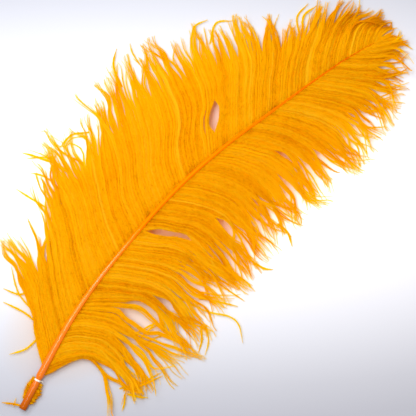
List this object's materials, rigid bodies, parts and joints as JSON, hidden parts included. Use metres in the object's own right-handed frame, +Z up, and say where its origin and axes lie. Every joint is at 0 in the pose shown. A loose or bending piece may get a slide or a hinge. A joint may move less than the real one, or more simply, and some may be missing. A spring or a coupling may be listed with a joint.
{
  "type": "ostrich feather",
  "caption": "Dyed ostrich wing plume lying upper side up, with a curved stem, two vanes of drooping locks and a thread tied round the quill.",
  "frame": {"origin": "middle of the feather's outline seen from above, on the table that it lies on", "axes": "+Y along the feather from the cut end of the quill to the tip, +Z up from the table, +X to the right when looking to the tip"},
  "size_m": [0.3156, 0.5656, 0.0237],
  "materials": {
    "dyed_barbs": "soft dyed barbs, matt, with light coming through the thin ones",
    "dyed_stem": "dyed horn, smooth and a little glossy",
    "thread": "white twisted cotton thread"
  },
  "bodies": {
    "root": {"plume": "dyed_barbs", "thread_tie": "thread"}
  },
  "joints": []
}
